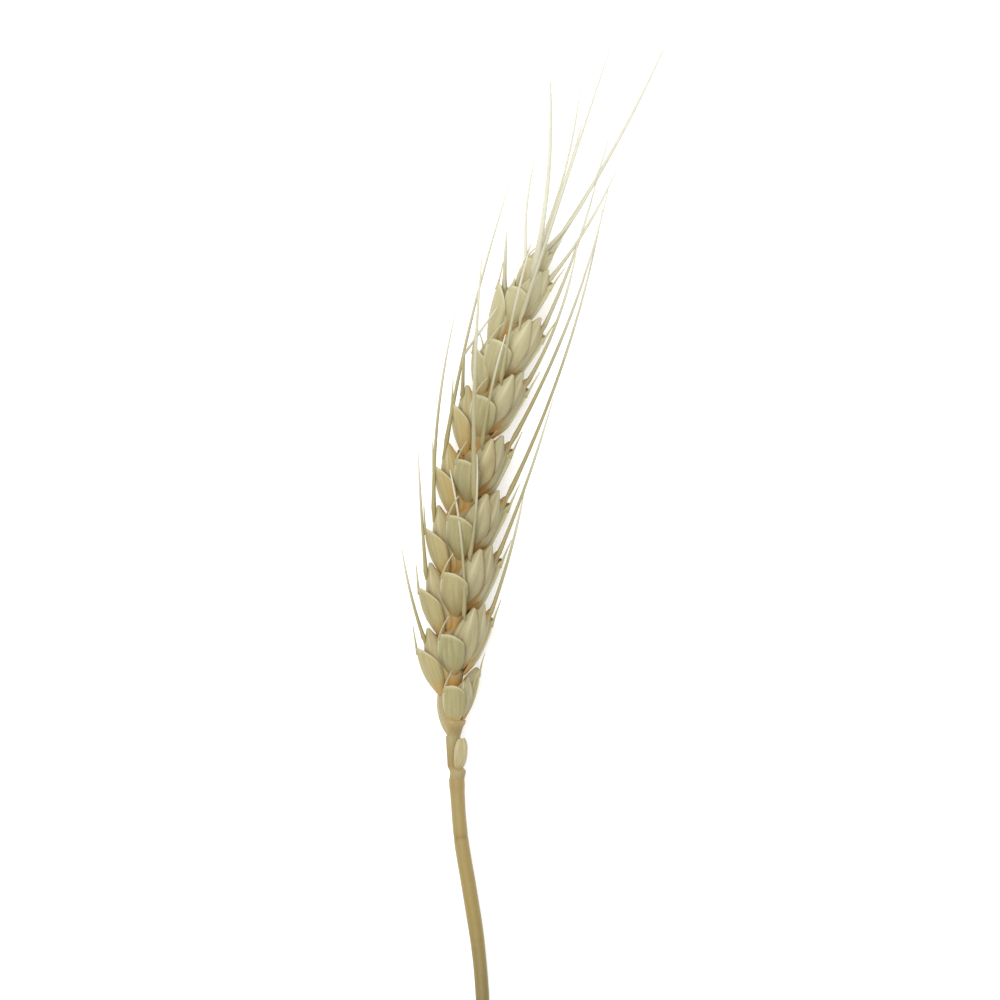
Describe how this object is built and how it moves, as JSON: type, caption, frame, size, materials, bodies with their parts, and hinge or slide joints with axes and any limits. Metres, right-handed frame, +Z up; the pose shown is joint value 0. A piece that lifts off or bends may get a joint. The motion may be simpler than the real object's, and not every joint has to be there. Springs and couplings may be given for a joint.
{
  "type": "dried wheat ear",
  "caption": "Dried bearded wheat ear with overlapping pale husks and long bristles on a short length of straw, lying on its side.",
  "frame": {"origin": "middle of the bounding box, on the surface that the ear lies on", "axes": "+Y along the ear from its straw to the tips of its bristles, +Z up from the surface"},
  "size_m": [0.0421, 0.1625, 0.0211],
  "materials": {
    "straw": "smooth dry straw with a soft sheen",
    "chaff": "dry papery husk, fine veins, dull"
  },
  "bodies": {
    "root": {"stem": "straw", "head": "chaff"}
  },
  "joints": []
}
